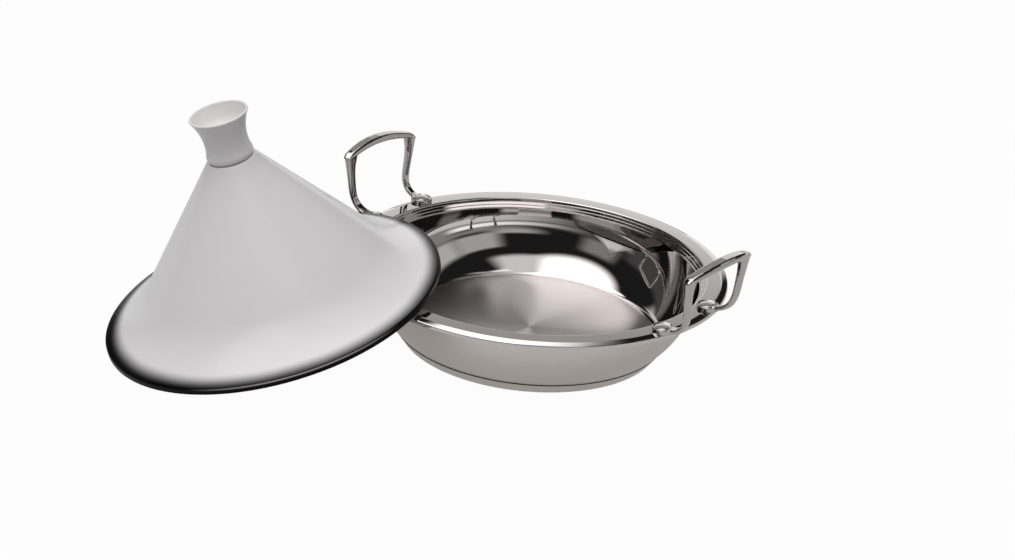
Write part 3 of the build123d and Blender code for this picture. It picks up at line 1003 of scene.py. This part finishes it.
# Panels in front of the softbox
SILKS = (
    ("overhead silk", (-62, -12), 22, (48.5, 82), 6, 0.85),
    ("high silk", (-62, 110), 22, (74, 100), 6, 0.85),
)
# The big round softbox: bearing, elevation, angular radius and soft edge in degrees, then its tone in
# mirrors and the radiance of its lamp
SOFTBOX = (-107, 73, 31, 10, 2.1, 2.5)
LAMP_DISTANCE = 2.5
# What mirrors see where nothing hangs, and the soft fill that everything else gets
DARK_TONE = 0.015
FILL = 0.215
# The floor lies just under the stand face. How much of it is plain white, to the camera and in mirrors
FLOOR_DROP = 0.0003
FLOOR_GREY = "#BCBCBC"
WHITE_SEEN = 0.97
WHITE_MIRRORED = 0.35


def studio_panel(tree, angles, tone, panel):
    """Hangs a soft-edged panel, between its bearings and elevations, in front of what is there."""
    _, bearings, bearing_edge, elevations, elevation_edge, panel_tone = panel
    cover = None
    for turn, (low, high), edge in zip(angles, (bearings, elevations), (bearing_edge, elevation_edge)):
        # A panel that goes all the way round has no ends
        if high - low >= 360:
            continue
        middle, half, soft = radians(low + high) / 2, radians(high - low) / 2, radians(edge) / 2
        offset = add(tree, "ShaderNodeMath", {1: middle}, {0: turn}, operation="SUBTRACT")
        nearest = add(tree, "ShaderNodeMath", {1: pi, 2: -pi}, {0: offset}, operation="WRAP")
        away = add(tree, "ShaderNodeMath", links={0: nearest}, operation="ABSOLUTE")
        ends = {"From Min": half + soft, "From Max": half - soft}
        inside = add(tree, "ShaderNodeMapRange", ends, {"Value": away}, interpolation_type="SMOOTHSTEP")
        if cover is None:
            cover = inside
        else:
            cover = add(tree, "ShaderNodeMath", links={0: cover, 1: inside}, operation="MULTIPLY")
    return add(tree, "ShaderNodeMix", {3: panel_tone}, {0: cover, 2: tone})


def studio_softbox(tree, toward, tone):
    """Hangs the round softbox in front of what is there."""
    bearing, elevation, radius, edge, softbox_tone, _ = SOFTBOX
    middle = {1: direction(bearing, elevation)}
    nearness = add(tree, "ShaderNodeVectorMath", middle, {0: toward}, operation="DOT_PRODUCT")
    ends = {"From Min": cos(radians(radius + edge / 2)), "From Max": cos(radians(radius - edge / 2))}
    near = {"Value": nearness.outputs["Value"]}
    cover = add(tree, "ShaderNodeMapRange", ends, near, interpolation_type="SMOOTHSTEP")
    return add(tree, "ShaderNodeMix", {3: softbox_tone}, {0: cover, 2: tone})


class TAGINE_OT_stage(bpy.types.Operator):
    """Set up the camera, the pale floor, the soft studio lights and their cards"""

    bl_idname = "tagine.stage"
    bl_label = "Stage"

    def execute(self, context):
        self.set_camera(context.scene)
        self.set_world(context.scene)
        self.lay_floor()
        self.hang_lights(context.scene)
        context.scene.view_settings.view_transform = "Standard"
        return {"FINISHED"}

    def set_camera(self, scene):
        """A long lens, level but for a small roll."""
        stage = scene.tagine_stage
        toward = -direction(degrees(stage.bearing), degrees(stage.elevation))
        camera = bpy.data.objects.new("Camera", bpy.data.cameras.new("Camera"))
        camera.data.lens = stage.lens
        camera.data.clip_end = 50
        upright = toward.to_track_quat("-Z", "Y").to_matrix().to_4x4()
        turned = upright @ Matrix.Rotation(stage.roll, 4, "Z")
        camera.matrix_world = Matrix.Translation(Vector(stage.aim) - toward * stage.distance) @ turned
        scene.collection.objects.link(camera)
        scene.camera = camera

    def set_world(self, scene):
        """White where it is seen, panels and dark cloth where it is mirrored, soft fill elsewhere."""
        world = bpy.data.worlds.new("Studio")
        world.use_nodes = True
        tree = world.node_tree
        tree.nodes.clear()
        toward = add(tree, "ShaderNodeTexCoord").outputs["Generated"]
        axes = add(tree, "ShaderNodeSeparateXYZ", links={0: toward}).outputs
        bearing = add(tree, "ShaderNodeMath", links={0: axes["Y"], 1: axes["X"]}, operation="ARCTAN2")
        elevation = add(tree, "ShaderNodeMath", links={0: axes["Z"]}, operation="ARCSINE")
        tone = add(tree, "ShaderNodeValue").outputs[0]
        tone.default_value = DARK_TONE
        for panel in PANELS:
            tone = studio_panel(tree, (bearing, elevation), tone, panel)
        tone = studio_softbox(tree, toward, tone)
        for silk in SILKS:
            tone = studio_panel(tree, (bearing, elevation), tone, silk)
        path = add(tree, "ShaderNodeLightPath").outputs
        studio = add(tree, "ShaderNodeBackground", links={"Color": tone})
        fill = add(tree, "ShaderNodeBackground", {"Color": WHITE, "Strength": FILL})
        white = add(tree, "ShaderNodeBackground", {"Color": WHITE, "Strength": 1.0})
        mirrored = add(tree, "ShaderNodeMixShader", links={0: path["Is Glossy Ray"], 1: fill, 2: studio})
        both = add(tree, "ShaderNodeMixShader", links={0: path["Is Camera Ray"], 1: mirrored, 2: white})
        add(tree, "ShaderNodeOutputWorld", links={"Surface": both})
        world.cycles.sampling_method = "NONE"
        scene.world = world

    def lay_floor(self):
        """A pale floor that fades into the white background and still takes a soft shadow."""
        mesh = bmesh.new()
        bmesh.ops.create_circle(mesh, cap_ends=True, radius=8.0, segments=64)
        bmesh.ops.translate(mesh, vec=(0, 0, -FLOOR_DROP), verts=mesh.verts)
        floor = as_object("Floor", mesh)
        material, tree = new_material("pale studio floor")
        lit = add(tree, "ShaderNodeBsdfDiffuse", {"Color": linear(FLOOR_GREY)})
        white = add(tree, "ShaderNodeEmission", {"Color": WHITE, "Strength": 1.0})
        path = add(tree, "ShaderNodeLightPath").outputs
        rays = {0: path["Is Glossy Ray"], 1: path["Is Transmission Ray"]}
        mirrored = add(tree, "ShaderNodeMath", links=rays)
        in_mirrors = add(tree, "ShaderNodeMath", {1: WHITE_MIRRORED}, {0: mirrored}, operation="MULTIPLY")
        seen = {0: path["Is Camera Ray"], 2: in_mirrors}
        share = add(tree, "ShaderNodeMath", {1: WHITE_SEEN}, seen, operation="MULTIPLY_ADD")
        surface(tree, add(tree, "ShaderNodeMixShader", links={0: share, 1: lit, 2: white}))
        material.cycles.emission_sampling = "NONE"
        floor.data.materials.append(material)

    def hang_lights(self, scene):
        """The lamp of the round softbox; mirrors see its panel in the world instead."""
        bearing, elevation, radius, _, _, radiance = SOFTBOX
        toward = direction(bearing, elevation)
        lamp = bpy.data.lights.new("Softbox", "AREA")
        lamp.shape = "DISK"
        lamp.size = 2 * LAMP_DISTANCE * tan(radians(radius))
        # The power of a disk: its radiance times its area times pi
        lamp.energy = radiance * pi * pi * lamp.size ** 2 / 4
        softbox = bpy.data.objects.new("Softbox", lamp)
        softbox.location = toward * LAMP_DISTANCE
        softbox.rotation_mode = "QUATERNION"
        softbox.rotation_quaternion = toward.to_track_quat("Z", "Y")
        softbox.visible_camera = False
        softbox.visible_glossy = False
        scene.collection.objects.link(softbox)


class VIEW3D_PT_tagine(bpy.types.Panel):
    """Lists the tagine's pieces"""

    bl_label = "Tagine"
    bl_space_type = "VIEW_3D"
    bl_region_type = "UI"
    bl_category = "Tagine"

    def draw(self, context):
        for operator in OPERATORS:
            self.layout.operator(operator.bl_idname)


GROUPS = {
    "tagine_pan": TaginePanSizes,
    "tagine_handles": TagineHandleSizes,
    "tagine_rivets": TagineRivetSizes,
    "tagine_lid": TagineLidSizes,
    "tagine_finishes": TagineFinishes,
    "tagine_stage": TagineStage,
}
OPERATORS = (
    TAGINE_OT_stage, TAGINE_OT_pan_shell, TAGINE_OT_base, TAGINE_OT_handles, TAGINE_OT_rivets,
    TAGINE_OT_lid_shell, TAGINE_OT_knob,
)


def register():
    """Adds the classes, and their settings to every scene."""
    for group in GROUPS.values():
        bpy.utils.register_class(group)
    for operator in OPERATORS:
        bpy.utils.register_class(operator)
    bpy.utils.register_class(VIEW3D_PT_tagine)
    for name, group in GROUPS.items():
        setattr(bpy.types.Scene, name, PointerProperty(type=group))


def unregister():
    """Takes away what register added, last first."""
    for name in GROUPS:
        delattr(bpy.types.Scene, name)
    for made in (VIEW3D_PT_tagine, *reversed(OPERATORS), *reversed(GROUPS.values())):
        bpy.utils.unregister_class(made)


def main():
    """Builds every piece in order."""
    register()
    for operator in OPERATORS:
        family, name = operator.bl_idname.split(".")
        getattr(getattr(bpy.ops, family), name)()


if __name__ == "__main__":
    main()
